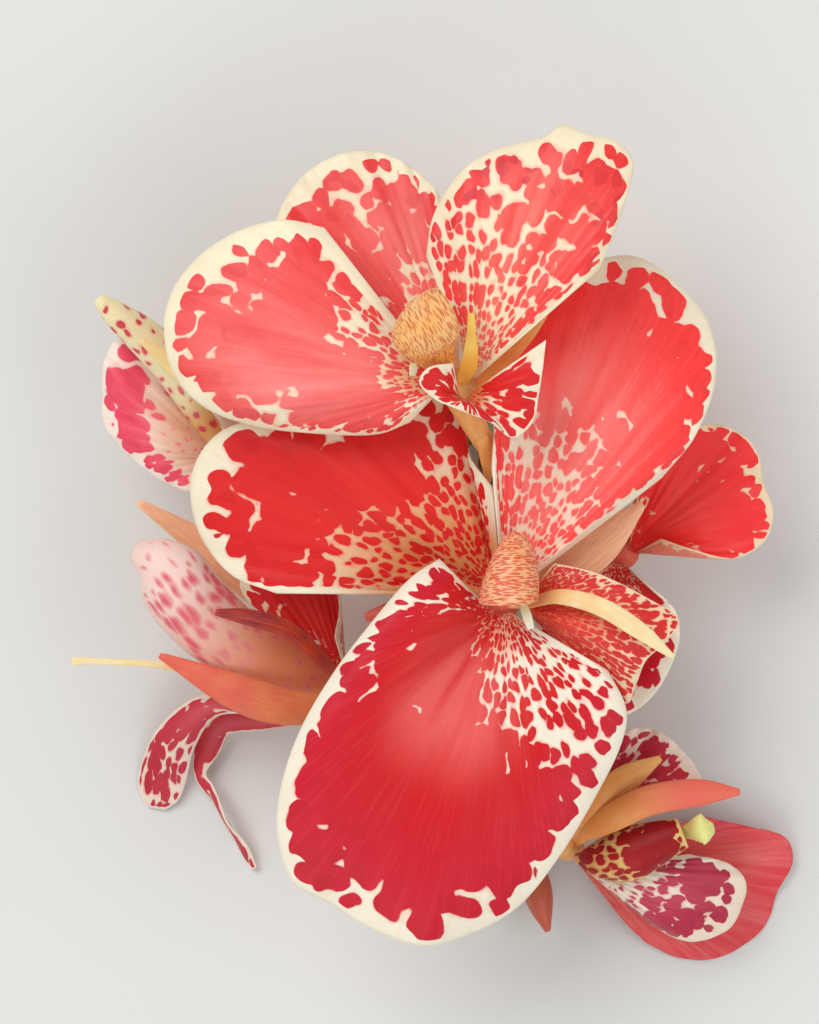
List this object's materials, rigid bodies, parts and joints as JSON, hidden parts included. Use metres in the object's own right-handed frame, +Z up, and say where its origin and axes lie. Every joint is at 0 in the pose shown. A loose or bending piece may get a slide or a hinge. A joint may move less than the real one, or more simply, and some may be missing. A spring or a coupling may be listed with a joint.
{
  "type": "canna lily flower head",
  "caption": "Cut flower head of a garden canna on a short stalk, laid on its back: broad speckled petal-like staminodes, rolled stamens, slim petals, ovaries and buds.",
  "frame": {"origin": "on the flat underside of the stalk, in the middle of the straight stretch that it rests on", "axes": "+Z up, the way the open flowers face; +Y along the stalk towards its tip; +X to the right of the head"},
  "size_m": [0.1515, 0.1722, 0.0779],
  "materials": {
    "scarlet_petal": "satin living tissue",
    "crimson_petal": "satin living tissue",
    "blush_petal": "satin living tissue",
    "cream_flesh": "satin living tissue",
    "apricot_flesh": "satin living tissue",
    "salmon_petal": "satin living tissue",
    "green_stalk": "satin living tissue",
    "red_ovary": "satin living tissue"
  },
  "bodies": {
    "root": {"stalk_and_bracts": "green_stalk", "bud_tip": "salmon_petal", "bud_upper": "salmon_petal", "bud_lower": "salmon_petal", "front_ovary": "red_ovary", "front_tube_and_petals": "salmon_petal", "front_staminode_right": "scarlet_petal", "front_staminode_left": "scarlet_petal", "front_staminode_lower": "scarlet_petal", "front_labellum": "scarlet_petal", "front_stamen": "apricot_flesh", "front_anther": "cream_flesh", "front_style": "cream_flesh", "upper_ovary": "red_ovary", "upper_tube_and_petals": "apricot_flesh", "upper_staminode_left": "scarlet_petal", "upper_staminode_back": "scarlet_petal", "upper_staminode_right": "scarlet_petal", "upper_labellum": "scarlet_petal", "upper_stamen": "apricot_flesh", "upper_anther": "cream_flesh", "upper_style": "apricot_flesh", "left_upper_ovary": "red_ovary", "left_upper_tube_and_petals": "apricot_flesh", "left_upper_rolled_staminode": "cream_flesh", "left_upper_staminode": "blush_petal", "left_lower_ovary": "red_ovary", "left_lower_tube_and_petals": "salmon_petal", "left_lower_hooded_staminode": "blush_petal", "left_lower_staminode_behind": "crimson_petal", "left_lower_stamen": "red_ovary", "left_lower_style": "cream_flesh", "left_lower_hanging_staminode": "crimson_petal", "left_lower_twisted_staminode": "crimson_petal", "right_lower_ovary": "red_ovary", "right_lower_tube_and_petals": "apricot_flesh", "right_lower_staminode_behind": "blush_petal", "right_lower_labellum": "crimson_petal", "right_lower_stamen": "cream_flesh", "right_lower_staminode_pale": "blush_petal", "right_lower_staminode_under": "scarlet_petal", "right_upper_ovary": "red_ovary", "right_upper_tube_and_petals": "salmon_petal", "right_upper_staminode_right": "scarlet_petal", "right_upper_staminode_lower": "scarlet_petal"}
  },
  "joints": []
}
